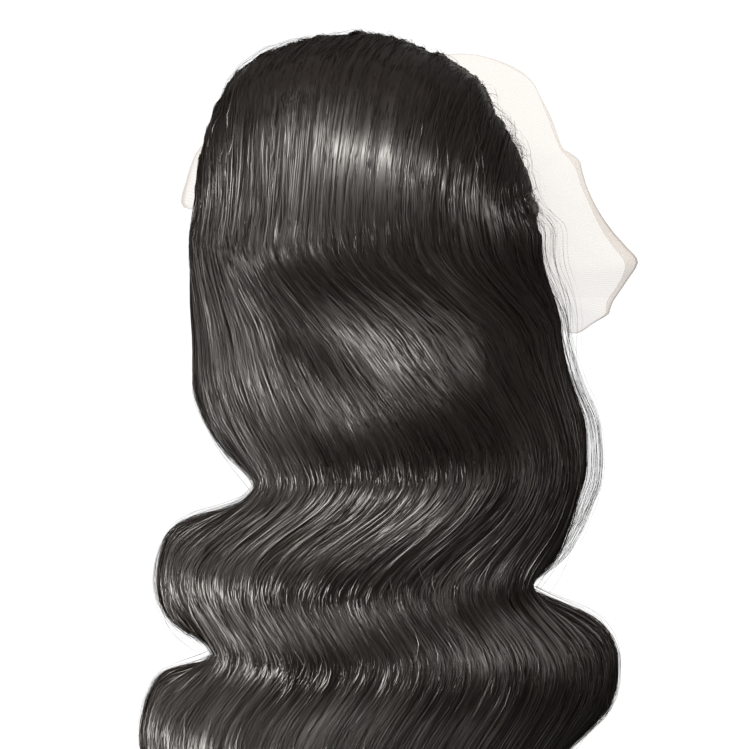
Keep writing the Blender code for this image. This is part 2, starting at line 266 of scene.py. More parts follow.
# How far the dense hair lies in from its outline at the left and right edge, where only loose strands
# and the veil on the right reach it: drop as a share of HAIR_LENGTH, and metres
VEIL = (
    ("drop", "left", "right"),
    (0.220, 0.0030, 0.0010),
    (0.280, 0.0020, 0.0030),
    (0.340, 0.0015, 0.0055),
    (0.400, 0.0015, 0.0055),
    (0.440, 0.0015, 0.0050),
    (0.540, 0.0015, 0.0085),
    (0.600, 0.0020, 0.0070),
    (0.640, 0.0020, 0.0040),
    (0.680, 0.0020, 0.0010),
    (1.000, 0.0020, 0.0010),
)

# Rows of the hair's grid between which the surface is eased where the free hair starts
RING_ROWS = (46, 78)

# How a strand's points are shared out along it, closest where the waves turn sharply
POINTS = (
    ("s", "share"),
    (0.00, 0.0),
    (1.00, 0.8),
    (1.36, 1.6),
    (1.68, 3.6),
    (2.00, 4.6),
)

# How much closer together the strands stand at the hairline than at the widest level of the head
GATHER = 0.60

# Studio lights: degrees round from the face, degrees up, distance, height aimed at, size, power and how
# wide their light spreads
LIGHTS = (
    ("name", "turn", "rise", "distance", "up", "width", "height", "watts", "spread"),
    ("key_softbox", 180, 41, 1.7, -0.18, 1.4, 0.36, 35, 180),
    ("right_softbox", 240, 30, 1.7, -0.10, 0.7, 0.6, 6, 180),
    ("low_fill", 200, 14, 1.9, -0.18, 1.3, 0.8, 3.4, 180),
    ("left_rim", 100, 12, 1.6, -0.22, 0.35, 1.4, 5.5, 180),
    ("left_low", 128, 4, 0.9, -0.41, 0.5, 0.3, 1.1, 50),
    ("front_fill", 10, 10, 1.9, -0.18, 1.4, 0.8, 1.4, 180),
)

LIGHT_COLOUR = (1.0, 0.962, 0.912)

# Loose strands in groups: how many, the ranges of their place across the free hair and at the hairline,
# of their start, end and lift, and how far they stray. They lie on the crown, in arcs off its right, on
# its right, at the left edge, at the right edge, in the veil on the right and over the whole fall
FLYAWAYS = (
    ("count", "across", "root", "start", "end", "lift", "stray"),
    (40, (0.10, 0.90), (0.5, 0.5), (0.0, 0.3), (0.9, 1.3), (0.0005, 0.0024), 1.5),
    (60, (0.84, 0.98), (0.60, 0.74), (0.05, 0.25), (1.0, 1.35), (0.0030, 0.0150), 1.0),
    (60, (0.70, 0.86), (0.62, 0.72), (0.10, 0.30), (1.15, 1.35), (0.0004, 0.0020), 2.0),
    (22, (0.0, 0.02), (0.0, 0.2), (1.1, 1.3), (1.6, 2.0), (0.0, 0.0014), 1.2),
    (22, (0.98, 1.0), (0.8, 1.0), (1.1, 1.3), (1.6, 2.0), (0.0, 0.0014), 1.2),
    (80, (0.955, 1.0), (0.8, 1.0), (1.02, 1.2), (1.46, 1.55), (0.0005, 0.0095), 1.2),
    (90, (0.05, 0.95), (0.2, 0.8), (0.6, 1.3), (1.5, 2.0), (0.0, 0.0012), 4.0),
)
BABY_HAIRS = 230

# Strands: bands of the long ones, how far before the tips the shortest end and how far they slip along
# the hair, both in s, how far they wander as a share of its width, and how deep their roots go in metres
BANDS = 6
TIP_UNEVENNESS = 0.30
SLIP = 0.006
WANDER = 0.0018
ROOT_DEPTH = 0.004

# How strands roll about their own length: how much they differ, then waves of it in radians, how fast
# they follow one another down the strand, and which draw shifts them and by how much
ROLL_SPREAD = 0.50
ROLLS = (
    ("height", "pace", "draw", "shift"),
    (0.30, 4, 5, 5),
    (0.24, 31, 3, 9),
    (0.15, 57, 4, 9),
)

# Body of dense hair: where it ends in s and starts to thin out, and its first place and width across
BODY_END = 1.95
BODY_THINS = 1.80
BODY_FIRST = 0.012
BODY_WIDTH = 0.965

# Grids of the sheets, across and along, and the size of their UV maps in metres
CAP_GRID = (90, 60)
CAP_CUT = (0.28, 0.20)
LACE_GRID = (170, 110)
LACE_CUT = (0.36, 0.17)
BODY_GRID = (120, 140)
BODY_CUT = (0.33, 0.60)

ACROSS = np.array((-math.cos(SPREAD_TURN), -math.sin(SPREAD_TURN), 0.0))
BACKWARD = np.array((-math.sin(SPREAD_TURN), math.cos(SPREAD_TURN), 0.0))
CENTRE = np.array((0.0, 0.0, -CROWN_HEIGHT))
CROWN_STEPS = 56
FALL_STEPS = 210
WIDTH_STEPS = 180


def column(table, name):
    where = table[0].index(name)
    return np.array([row[where] for row in table[1:]], float)


def hermite(t, first, enter, last, leave):
    """The smooth curve from first to last at t, with enter and leave as its slopes there."""
    return (
        (2 * t**3 - 3 * t**2 + 1) * first
        + (t**3 - 2 * t**2 + t) * enter
        + (3 * t**2 - 2 * t**3) * last
        + (t**3 - t**2) * leave
    )


def read(table, at, name):
    """The column's values at these places in the table's first column, on a smooth curve."""
    places, values = column(table, table[0][0]), column(table, name)
    at = np.clip(at, places[0], places[-1])
    k = np.clip(np.searchsorted(places, at, side="right") - 1, 0, len(places) - 2)
    slopes = np.gradient(values, places, edge_order=1)
    slopes[1:-1] = (values[2:] - values[:-2]) / (places[2:] - places[:-2])
    width = places[k + 1] - places[k]
    t = (at - places[k]) / width
    return hermite(t, values[k], slopes[k] * width, values[k + 1], slopes[k + 1] * width)


def smoothstep(low, high, value):
    t = np.clip((value - low) / (high - low), 0.0, 1.0)
    return t * t * (3 - 2 * t)


def unit(vectors):
    return vectors / np.maximum(np.linalg.norm(vectors, axis=-1, keepdims=True), 1e-12)


def head_points(turn, drop, grow=0.0):
    """Points of the head form: turn from the back towards the wearer's left, drop below the crown."""
    polar = np.arccos(np.clip(1 - drop / CROWN_HEIGHT, -1.0, 1.0))
    return CENTRE + np.stack(
        (
            (HEAD_WIDTH / 2 + grow) * np.sin(polar) * np.sin(turn),
            (HEAD_LENGTH / 2 + grow) * np.sin(polar) * np.cos(turn),
            (CROWN_HEIGHT + grow) * np.cos(polar),
        ),
        axis=-1,
    )


def hair_starts(u, setback):
    """The ways from the head's centre to where the strands at u leave the lace."""
    side = 2 * u - 1
    turn = (math.pi - HAIR_FRONT_TURN) * np.abs(side) ** 0.9
    line = read(HAIRLINE, np.minimum(90.0, np.degrees(turn)), "drop") * CROWN_HEIGHT
    drop = np.minimum(line, 0.92 * CROWN_HEIGHT) - setback * (1 - 0.5 * np.abs(side))
    return unit(head_points(math.pi + np.copysign(turn, side), drop) - CENTRE)


def ring_ways(u):
    """The ways from the head's centre to the strands at u, where they leave the cap."""
    turn = -HAIR_FRONT_TURN * (2 * u - 1)
    level = np.zeros_like(turn)
    return unit(
        np.stack((HEAD_WIDTH * np.sin(turn), HEAD_LENGTH * np.cos(turn), level), axis=-1)
    )


def on_hair(ways):
    """The points where lines from the head's centre leave the full body of hair."""
    half_width = HEAD_WIDTH / 2 + HAIR_ON_SIDES
    depth = HEAD_LENGTH / 2 + HAIR_AT_BACK
    height = CROWN_HEIGHT + HAIR_ON_CROWN
    near = np.zeros(ways.shape[:-1])
    far = np.full(ways.shape[:-1], 2 * (half_width + depth))
    for _ in range(34):
        middle = (near + far) / 2
        points = ways * middle[..., None]
        rise = np.arcsin(np.clip(points[..., 2] / height, -1.0, 1.0))
        girth = np.cos(rise) * read(CROWN, np.abs(np.degrees(rise)), "girth")
        lean = read(CROWN, np.abs(np.degrees(rise)), "lean")
        across = points @ ACROSS / half_width - lean
        inside = np.hypot(across, points @ BACKWARD / depth) < girth
        near = np.where(inside, middle, near)
        far = np.where(inside, far, middle)
    return CENTRE + ways * near[..., None]


def angle_of(first, second):
    return np.arccos(np.clip(np.sum(first * second, axis=-1), -1, 1))


def between(first, second, t):
    """The ways that lie t along the great circles between two ways."""
    angle = angle_of(first, second)
    return unit(np.sin((1 - t) * angle)[..., None] * first + np.sin(t * angle)[..., None] * second)


def crown_pairs(u, v):
    """Outer and inner points of the hair on the cap, v of the way along the strands at u."""
    first, last = hair_starts(u, 0.002), ring_ways(u)
    angle = angle_of(first, last)
    rise = (TURN_DOWN * angle)[..., None]
    above = last * np.cos(rise) + np.array((0.0, 0.0, 1.0)) * np.sin(rise)
    ways = between(between(first, above, v), between(above, last, v), v)
    shape = ways / (
        np.array((HEAD_WIDTH / 2, HEAD_LENGTH / 2, CROWN_HEIGHT)) + CAP_WALL + HAIR_LIFT
    )
    inner = CENTRE + ways / np.linalg.norm(shape, axis=-1, keepdims=True)
    full = on_hair(ways)
    body = np.linalg.norm(full - inner, axis=-1)
    from_line = v * angle * HEAD_WIDTH / 2
    from_end = np.minimum(u, 1 - u) * HAIR_FRONT_TURN * HEAD_WIDTH
    taper = HAIRLINE_TAPER * (1 - 0.65 * smoothstep(0.55, 0.95, np.abs(2 * u - 1)))
    share = np.minimum(
        smoothstep(0, 1, from_line / taper + 0.2),
        smoothstep(0, HAIRLINE_TAPER, from_end + HAIRLINE_TAPER * 0.7),
    )
    depth = HAIRLINE_THICKNESS + np.maximum(0.0, body - HAIRLINE_THICKNESS) * share
    return inner + unit(full - inner) * depth[..., None], inner


def fall_pairs(u, drop):
    """Outer and inner points of the free hair at u, drop below the crown."""
    at = drop / HAIR_LENGTH
    ease = np.minimum(WAVE_EASE * np.minimum(u, 1 - u), WAVE_EASE_MOST)
    taps = [(at + ease * k / 4, (5 - abs(k)) / 25) for k in range(-4, 5)]
    left, right = (
        sum(read(FALL, tap, name) * part for tap, part in taps) * FALL_HALF_WIDTH
        for name in ("left", "right")
    )
    back, ends = (read(FALL, at, name) * FALL_DEPTH for name in ("back", "ends"))
    bend = (u - 0.5) * math.pi
    middle, half = (left + right) / 2, (right - left) / 2
    across = middle + half * np.sin(bend)
    deep = ends + (back - ends) * np.cos(bend)
    outer = across[..., None] * ACROSS + deep[..., None] * BACKWARD
    normal = unit(
        ((back - ends) * np.sin(bend))[..., None] * ACROSS
        + (half * np.cos(bend))[..., None] * BACKWARD
    )
    thick = FALL_EDGE_THICKNESS + (FALL_THICKNESS - FALL_EDGE_THICKNESS) * np.cos(bend)
    return outer, outer - normal * thick[..., None]


def clear_of_cap(points, drop):
    """The points, moved out level where they would come close to the cap."""
    girth = np.sqrt(np.clip(1 - (drop / CROWN_HEIGHT - 1) ** 2, 0, 1))
    grow = CAP_WALL + 2 * HAIR_LIFT
    share = np.hypot(
        points[..., 0] / (HEAD_WIDTH / 2 * girth + grow),
        points[..., 1] / (HEAD_LENGTH / 2 * girth + grow),
    )
    keep = (share < 1) & (drop < 2 * CROWN_HEIGHT)
    return np.where(keep[..., None], points / np.maximum(share, 1e-6)[..., None], points)


def free_pairs(u, drop):
    """fall_pairs, led smoothly out of the hair on the cap."""
    outer, inner = fall_pairs(u, drop)
    top_outer, top_inner = crown_pairs(u, np.ones_like(u))
    top_outer[..., 2] = top_inner[..., 2] = 0
    share = smoothstep(0, LEAD_OUT * HAIR_LENGTH, drop - CROWN_HEIGHT)[..., None]
    outer = top_outer * (1 - share) + outer * share
    inner = clear_of_cap(top_inner * (1 - share) + inner * share, drop)
    outer[..., 2] = inner[..., 2] = -drop
    return outer, inner


def ridges(points):
    """How far the ridges stand out here."""
    across, up = points @ ACROSS, points[..., 2]
    total = np.zeros(across.shape)
    for x, z, turn, length, width, height in RIDGES[1:]:
        turn = math.radians(turn)
        along = (across - x) * math.cos(turn) + (up - z) * math.sin(turn)
        aside = (up - z) * math.cos(turn) - (across - x) * math.sin(turn)
        total += height * np.exp(-((along / length) ** 2) / 2 - (aside / width) ** 2 / 2)
    return total


def swells(u, places):
    """How far the locks' own long swells stand out here."""
    run = np.minimum(places, 1) * 0.18 + np.maximum(places - 1, 0) * (HAIR_LENGTH - CROWN_HEIGHT)
    phase = sum(2.4 / k * np.sin(2 * math.pi * 5.3 * k * u + 1.7 * k) for k in (1, 1.6, 2.3, 4.4))
    height = SWELL_ON_CAP + (SWELL_BELOW - SWELL_ON_CAP) * smoothstep(0.9, 1.3, places)
    height = height * smoothstep(0.05, 0.35, places) * smoothstep(0.03, 0.30, np.minimum(u, 1 - u))
    return height * np.sin(2 * math.pi * run / SWELL_LENGTH + 2 * phase)


class HairForm:
    """The hair's outer and inner surface as grids: s runs from the hairline, 0, over the edge of the
    cap, 1, to the tips, 2, and u from the wearer's left, 0, to the right, 1."""

    def __init__(self):
        u = np.linspace(0, 1, WIDTH_STEPS + 1)
        v = np.linspace(0, 1, CROWN_STEPS + 1)
        drop = np.linspace(CROWN_HEIGHT, HAIR_LENGTH, FALL_STEPS + 1)[1:]
        crown = crown_pairs(*np.meshgrid(u, v))
        free = free_pairs(*np.meshgrid(u, drop))
        self.outer = np.concatenate((crown[0], free[0]))
        self.inner = np.concatenate((crown[1], free[1]))
        self.places = np.concatenate((v, 1 + np.arange(1, FALL_STEPS + 1) / FALL_STEPS))
        at = np.concatenate((v * 0, drop))[:, None] / HAIR_LENGTH
        inset = read(VEIL, at, "right") * smoothstep(0.80, 1.0, u)
        inset -= read(VEIL, at, "left") * smoothstep(0.20, 0.0, u)
        self.outer -= inset[..., None] * ACROSS
        self.inner -= inset[..., None] * ACROSS
        self.ease_ring()
        self.normal = self.normals_of(self.outer)
        facing = np.clip(self.normal @ BACKWARD, 0, 1)
        self.outer += BACKWARD * (ridges(self.outer) * facing)[..., None]
        self.outer += self.normal * swells(u[None, :], self.places[:, None])[..., None]
        self.normal = self.normals_of(self.outer)

    def ease_ring(self):
        """Takes the crease out of the outer surface where the free hair starts."""
        first, last = RING_ROWS
        steps = np.linalg.norm(np.diff(self.outer, axis=0), axis=-1)
        run = np.concatenate((np.zeros((1, WIDTH_STEPS + 1)), np.cumsum(steps, axis=0)))
        deep = self.outer @ BACKWARD
        span = run[last] - run[first]
        t = (run[first : last + 1] - run[first]) / span
        enter = (deep[first] - deep[first - 2]) / (run[first] - run[first - 2]) * span
        leave = (deep[last + 2] - deep[last]) / (run[last + 2] - run[last]) * span
        eased = hermite(t, deep[first], enter, deep[last], leave)
        self.outer[first : last + 1] += BACKWARD * (eased - deep[first : last + 1])[..., None]

    def normals_of(self, grid):
        across = np.gradient(grid, axis=1)
        normal = unit(np.cross(np.gradient(grid, axis=0), across))
        outward = np.median(np.sum(normal * (grid - self.inner), axis=-1))
        return normal * math.copysign(1, outward)

    def row_of(self, s):
        s = np.clip(s, 0, 2)
        return np.where(s < 1, s * CROWN_STEPS, CROWN_STEPS + (s - 1) * FALL_STEPS)

    def sample(self, grid, u, s):
        """The grid's values at these places, blended between its points."""
        row = np.clip(self.row_of(s), 0, CROWN_STEPS + FALL_STEPS - 1e-6)
        side = np.clip(u, 0, 1) * (WIDTH_STEPS - 1e-6)
        r, c = row.astype(int), side.astype(int)
        fr, fc = (row - r)[..., None], (side - c)[..., None]
        upper = grid[r, c] * (1 - fc) + grid[r, c + 1] * fc
        lower = grid[r + 1, c] * (1 - fc) + grid[r + 1, c + 1] * fc
        return upper * (1 - fr) + lower * fr


def lock_waves(u, s):
    """How far the locks stand out here, and how far they pull the strands aside."""
    rise = np.zeros(np.broadcast(u, s).shape)
    pull = np.zeros_like(rise)
    for k, (count, height, gather, drift) in enumerate(LOCKS[1:]):
        phase = drift * np.sin(1.9 * s + 1.3 * k) + 2.1 * k + 0.7 * np.sin(3.7 * s * (1 + 0.2 * k))
        phase = phase + 1.2 * np.sin(2 * math.pi * u * (1.3 + k) + k)
        turn = 2 * math.pi * count * u + phase
        grow = smoothstep(0.0, 1.4, s) * 0.75 + 0.25
        rise += height * np.cos(turn) * grow
        pull -= gather / (2 * math.pi * count) * np.sin(turn) * grow
    return rise, pull


def new_object(name, mesh, finish, replaced=()):
    """Puts a finished mesh into the scene as a piece of the wig."""
    made = bpy.data.objects.new(name, mesh)
    bpy.context.scene.collection.objects.link(made)
    made.data.materials.append(finish)
    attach(made, "root")
    if replaced:
        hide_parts(*replaced)
    return made


def grid_mesh(name, grid, cut, place, closed_with=None):
    """A sheet from a grid: place turns (across, along), each 0 to 1, into points, and cut is the size of
    its UV map. With closed_with, the sheet is extruded and its second side put there, which closes it
    into a solid."""
    bm = bmesh.new()
    bmesh.ops.create_grid(bm, x_segments=grid[0], y_segments=grid[1], size=0.5)
    spot = bm.verts.layers.float_vector.new("spot")
    for vert in bm.verts:
        vert[spot] = (vert.co.x + 0.5, vert.co.y + 0.5, 0)
    if closed_with:
        made = bmesh.ops.extrude_face_region(bm, geom=bm.faces[:])
        for item in made["geom"]:
            if isinstance(item, bmesh.types.BMVert):
                item[spot] = (item[spot].x, item[spot].y, 1)
    bm.verts.ensure_lookup_table()
    spots = np.array([vert[spot][:] for vert in bm.verts])
    points = place(spots[:, 0], spots[:, 1])
    if closed_with:
        other = closed_with(spots[:, 0], spots[:, 1])
        points = np.where(spots[:, 2:] > 0.5, other, points)
    uv = bm.loops.layers.uv.new("cut")
    for face in bm.faces:
        for loop in face.loops:
            x, y, _ = loop.vert[spot]
            loop[uv].uv = (x * cut[0], y * cut[1])
    for vert, point in zip(bm.verts, points):
        vert.co = point
    bmesh.ops.remove_doubles(bm, verts=bm.verts[:], dist=1e-6)
    if closed_with:
        bmesh.ops.recalc_face_normals(bm, faces=bm.faces[:])
    mesh = bpy.data.meshes.new(name)
    bm.to_mesh(mesh)
    bm.free()
    mesh.shade_smooth()
    return mesh


def ribbon_mesh(name, centres, sides, widths, flow, tint):
    """Many ribbons as one mesh. centres and sides are strands by points by 3, widths strands by points,
    flow the ribbons' (u, s) places and tint one shade for each strand."""
    strands, points = centres.shape[:2]
    offset = sides * (widths / 2)[..., None]
    verts = np.stack((centres - offset, centres + offset), axis=2).reshape(-1, 3)
    base = (np.arange(strands)[:, None] * points + np.arange(points - 1)).ravel() * 2
    faces = np.stack((base, base + 1, base + 3, base + 2), axis=1)
    mesh = bpy.data.meshes.new(name)
    mesh.vertices.add(len(verts))
    mesh.vertices.foreach_set("co", verts.astype(np.float32).ravel())
    mesh.loops.add(faces.size)
    mesh.loops.foreach_set("vertex_index", faces.astype(np.int32).ravel())
    mesh.polygons.add(len(faces))
    mesh.polygons.foreach_set("loop_start", np.arange(0, faces.size, 4, dtype=np.int32))
    mesh.update(calc_edges=True)
    mesh.shade_smooth()
    where = np.repeat(flow.reshape(-1, 2), 2, axis=0)
    uv = mesh.uv_layers.new(name="flow")
    uv.data.foreach_set("uv", where[faces.ravel()].astype(np.float32).ravel())
    shade = mesh.attributes.new("tint", "FLOAT", "POINT")
    shade.data.foreach_set("value", np.repeat(tint, points * 2).astype(np.float32))
    return mesh


def strands_on(
    form, rng, u, deep, start, end, lift, settings,
    points=43, stray=1.0, fine=1.0, first=None, arch=False,
):
    """Ribbons that follow the hair's flow, with one value for each strand: its place across the free
    hair, how deep it lies between the outer surface, 0, and the inner one, 1, its start, its end, its
    lift and its place across at the hairline."""
    count = len(u)
    t = np.linspace(0, 1, points)[None, :]
    places, shares = column(POINTS, "s"), column(POINTS, "share")
    low, high = (np.interp(at, places, shares) for at in (start, end))
    s = np.interp(low[:, None] + (high - low)[:, None] * t, shares, places)
    roam = rng.normal(0, 1, (count, 6))
    wander = (
        roam[:, :1] * np.sin(2.2 * s + roam[:, 1:2] * 3)
        + 0.5 * roam[:, 2:3] * np.sin(5.1 * s + roam[:, 3:4] * 3)
    ) * (WANDER * (0.3 + smoothstep(0.6, 1.8, s))) * stray
    drop = CROWN_HEIGHT + (HAIR_LENGTH - CROWN_HEIGHT) * np.clip(s - 1, 0, 1)
    swing = read(SWING, drop / HAIR_LENGTH, "swing") * np.sin(math.pi * u[:, None]) ** 3
    within = np.clip(np.minimum(u, 1 - u) * 30, 0, 1)[:, None]
    first = 0.5 + (u - 0.5) * GATHER if first is None else first
    gathered = (first - u)[:, None] * np.clip(1 - s, 0, 1) ** 1.6
    across = u[:, None] + (wander + swing) * within + gathered
    rise, pull = lock_waves(across, s)
    across = np.clip(across + pull * within, 0.0005, 0.9995)
    slip = roam[:, 4:5] * SLIP * smoothstep(1.0, 1.5, s) * stray * (0.3 + 0.7 * within)
    deep = deep[:, None]
    slipped = np.where(s > 1, np.clip(s + slip, 1, 2), s)
    outer = form.sample(form.outer, across, slipped)
    inner = form.sample(form.inner, across, slipped)
    here = outer * (1 - deep[..., None]) + inner * deep[..., None]
    level = form.sample(form.outer, across, s)[..., 2]
    here[..., 2] = np.where(s > 1, level, here[..., 2])
    normal = form.sample(form.normal, across, s)
    aside = unit(np.cross(np.gradient(here, axis=1), normal))
    aside *= np.sign(np.sum(aside * ACROSS, axis=-1, keepdims=True) * (u[:, None, None] - 0.5))
    turn = math.pi * deep[..., None]
    edge = np.where(within < 0.2, 1.0, 0.0)[..., None]
    normal = unit(normal * np.cos(turn) + aside * np.sin(turn) * edge)
    emerge = smoothstep(0, 0.12, t)
    rooted = (start > 0.02)[:, None]
    depth = lift[:, None] * (np.sin(math.pi * t) if arch else emerge)
    depth = depth - ROOT_DEPTH * (1 - emerge) * rooted
    centres = here + normal * (rise * (1 - edge[..., 0]) + depth)[..., None]
    along = unit(np.gradient(centres, axis=1))
    side = unit(np.cross(along, normal))
    up = np.cross(side, along)
    roll = rng.normal(0, ROLL_SPREAD, count)[:, None]
    for height, pace, draw, shift in ROLLS[1:]:
        roll = roll + height * np.sin(pace * s + roam[:, draw : draw + 1] * shift)
    sides = side * np.cos(roll)[..., None] + up * np.sin(roll)[..., None]
    wide = settings.strand_width * fine * rng.uniform(0.65, 1.3, count)[:, None]
    taper = np.minimum(smoothstep(-0.01, 0.03, t), 1 - 0.85 * smoothstep(0.80, 1.0, t))
    flow = np.stack((across, s / 2), axis=-1)
    return centres, sides, wide * taper, flow


def hair_piece(name, rng, parts, finish, darkest=0):
    """Puts ribbons into the scene as one piece, with a shade between darkest and 1 for each."""
    mesh = ribbon_mesh(name, *parts, rng.uniform(darkest, 1, len(parts[0])))
    new_object(name, mesh, finish)


def lace_points(across, along):
    """Points of the lace: over the head to the hairline, out to the uncut edge, then folded back."""
    side = np.sin((across - 0.5) * math.pi)
    turn = side * math.pi / 2
    degrees = np.abs(np.degrees(turn))
    line = read(HAIRLINE, degrees, "drop") * CROWN_HEIGHT
    polar = np.arccos(np.clip(1 - line / CROWN_HEIGHT, -1, 1))

    def on_dome(share):
        return head_points(math.pi - turn, CROWN_HEIGHT * (1 - np.cos(polar * share)), 0.0005)

    start, before = on_dome(np.ones_like(along)), on_dome(np.full_like(along, 0.9))
    edge = []
    for name, scale in (("out", LACE_REACH), ("fore", -LACE_FORE), ("drop", -LACE_DROP)):
        left, right = (read(table, degrees, name) for table in (EDGE_LEFT, EDGE_RIGHT))
        edge.append(np.where(turn > 0, left, right) * scale)
    edge[0] = np.copysign(edge[0], turn)
    end = np.stack(edge, axis=-1)
    run = np.linalg.norm(end - start, axis=-1, keepdims=True)
    bend = start + (end - start) * 0.35 + unit(start - before) * run * 0.15
    t = np.clip((along - DOME_END) / (MARGIN_END - DOME_END), 0, 1)[..., None]
    out = start * (1 - t) ** 2 + bend * 2 * t * (1 - t) + end * t * t
    ripple = 0.0014 * np.sin(along * 21 + across * 31) * np.sin(across * 47 + along * 9)
    face = unit(np.cross(end - start, np.array((0.0, 0.0, 1.0))))
    out += face * (ripple * smoothstep(0.1, 0.7, t[..., 0]))[..., None]
    fold = np.where(turn > 0, read(EDGE_LEFT, degrees, "fold"), read(EDGE_RIGHT, degrees, "fold"))
    back = np.clip((along - MARGIN_END) / (1 - MARGIN_END), 0, 1)
    turned = -unit(end - bend) * (fold * FOLD_WIDTH * back)[..., None]
    turned -= face * (0.0009 * np.sin(np.minimum(back * 4, 1) * math.pi / 2))[..., None]
    out = out + np.where(along[..., None] > MARGIN_END, turned, 0)
    return np.where(along[..., None] < DOME_END, on_dome(along / DOME_END), out)


def baby_hair_paths(rng, count, settings, points=12):
    """Short fine hairs that grow out of the lace at the hairline and lie over its margin."""
    across = rng.uniform(0.03, 0.97, count)
    root = DOME_END + rng.uniform(-0.02, 0.05, count)
    reach = rng.uniform(0.03, 0.16, count) * rng.uniform(0.3, 1, count)
    side = np.sign(across - 0.5)
    t = np.linspace(0, 1, points)[None, :]
    bend = rng.uniform(0.0, 0.09, count)
    a = across[:, None] + side[:, None] * bend[:, None] * t**1.5
    b = root[:, None] + reach[:, None] * np.sin(t * rng.uniform(1.0, 2.2, count)[:, None])
    here = lace_points(np.clip(a, 0.01, 0.99), np.clip(b, 0.01, MARGIN_END - 0.02))
    beside = lace_points(np.clip(a + 0.004, 0.012, 0.995), np.clip(b, 0.01, MARGIN_END - 0.02))
    along = unit(np.gradient(here, axis=1))
    normal = unit(np.cross(beside - here, along))
    outward = np.sum(normal * (here - CENTRE), axis=-1, keepdims=True)
    normal = normal * np.where(outward < 0, -1, 1)
    high = rng.uniform(0.0004, 0.004, count)[:, None]
    here = here + normal * (high * np.sin(t * math.pi * 0.8) + 0.0004)[..., None]
    sides = unit(np.cross(np.gradient(here, axis=1), normal))
    wide = settings.strand_width * 0.42 * rng.uniform(0.7, 1.2, count)[:, None] * (1 - 0.8 * t**2)
    flow = np.stack(np.broadcast_arrays(across[:, None], t * 0.2), axis=-1)
    return here, sides, wide, flow


# Materials


def aim(made, turn, rise, distance, height):
    """Puts a light or a camera into the scene round the wig, aimed at this height on its axis."""
    level = math.cos(rise)
    way = Vector((math.sin(turn) * level, -math.cos(turn) * level, math.sin(rise)))
    made.location = Vector((0, 0, height)) + way * distance
    made.rotation_euler = way.to_track_quat("Z", "Y").to_euler()
    bpy.context.scene.collection.objects.link(made)


def new_material(name, roughness, specular):
    made = bpy.data.materials.new(name)
    made.use_nodes = True
    shader = made.node_tree.nodes["Principled BSDF"]
    shader.inputs["Roughness"].default_value = roughness
    shader.inputs["Specular IOR Level"].default_value = specular
    return made, made.node_tree.nodes, made.node_tree.links, shader


def add_node(nodes, kind, **values):
    """A new shader node with these values on its inputs."""
    made = nodes.new("ShaderNode" + kind)
    for name, value in values.items():
        made.inputs[name.replace("_", " ")].default_value = value
    return made


def add_math(nodes, operation, factor):
    """A new maths node that multiplies by this factor."""
    made = nodes.new("ShaderNodeMath")
    made.operation = operation
    made.inputs[1].default_value = factor
    return made


def read_attribute(nodes, name):
    """The output of a value that the mesh has at each point."""
    made = nodes.new("ShaderNodeAttribute")
    made.attribute_name = name
    return made.outputs["Fac"]


def add_ramp(nodes, links, value, colour, *stops):
    """Colours an input from a value, by (position, colour) stops."""
    ramp = nodes.new("ShaderNodeValToRGB")
    for element, (position, shade) in zip(ramp.color_ramp.elements, stops):
        element.position = position
        element.color = (*shade, 1)
    links.new(value, ramp.inputs["Fac"])
    links.new(ramp.outputs["Color"], colour)


def add_bump(nodes, links, height, shader, strength, distance):
    """Roughens the shader's surface by a value."""
    bump = add_node(nodes, "Bump", Strength=strength, Distance=distance)
    links.new(height, bump.inputs["Height"])
    links.new(bump.outputs["Normal"], shader.inputs["Normal"])
    return bump


def map_texture(nodes, links, layer, texture, scale, turn=0.0):
    """Lays a texture on the piece's own UV map, scaled and turned."""
    coords = nodes.new("ShaderNodeUVMap")
    coords.uv_map = layer
    stretch = add_node(nodes, "Mapping", Scale=scale, Rotation=(0, 0, turn))
    links.new(coords.outputs["UV"], stretch.inputs["Vector"])
    links.new(stretch.outputs["Vector"], texture.inputs["Vector"])


def net_cells(nodes, links, count, randomness, turn=0.0):
    """The holes of a net, so many to the metre: how far the nearest thread is."""
    cells = nodes.new("ShaderNodeTexVoronoi")
    cells.feature = "DISTANCE_TO_EDGE"
    cells.inputs["Scale"].default_value = 1.0
    cells.inputs["Randomness"].default_value = randomness
    map_texture(nodes, links, "cut", cells, (count, count, 1), turn)
    return cells.outputs["Distance"]


def hair_material(name, settings, streaks):
    """Off-black hair: a dark root colour with fine lengthwise streaks of warmer brown."""
    made, nodes, links, shader = new_material(name, settings.roughness, settings.shine)
    noise = add_node(nodes, "TexNoise", Detail=3, Scale=1.0)
    shade = noise.outputs["Fac"]
    if streaks is None:
        map_texture(nodes, links, "flow", noise, (90, 6, 1))
        mix = add_math(nodes, "MULTIPLY_ADD", 0.45)
        part = add_math(nodes, "MULTIPLY", 0.75)
        links.new(shade, mix.inputs[0])
        links.new(read_attribute(nodes, "tint"), part.inputs[0])
        links.new(part.outputs[0], mix.inputs[2])
        shade = mix.outputs[0]
    else:
        map_texture(nodes, links, "cut", noise, streaks)
        add_bump(nodes, links, shade, shader, 0.8, 0.0006)
    stops = ((0.25, settings.dark), (0.95, settings.light))
    add_ramp(nodes, links, shade, shader.inputs["Base Color"], *stops)
    return made


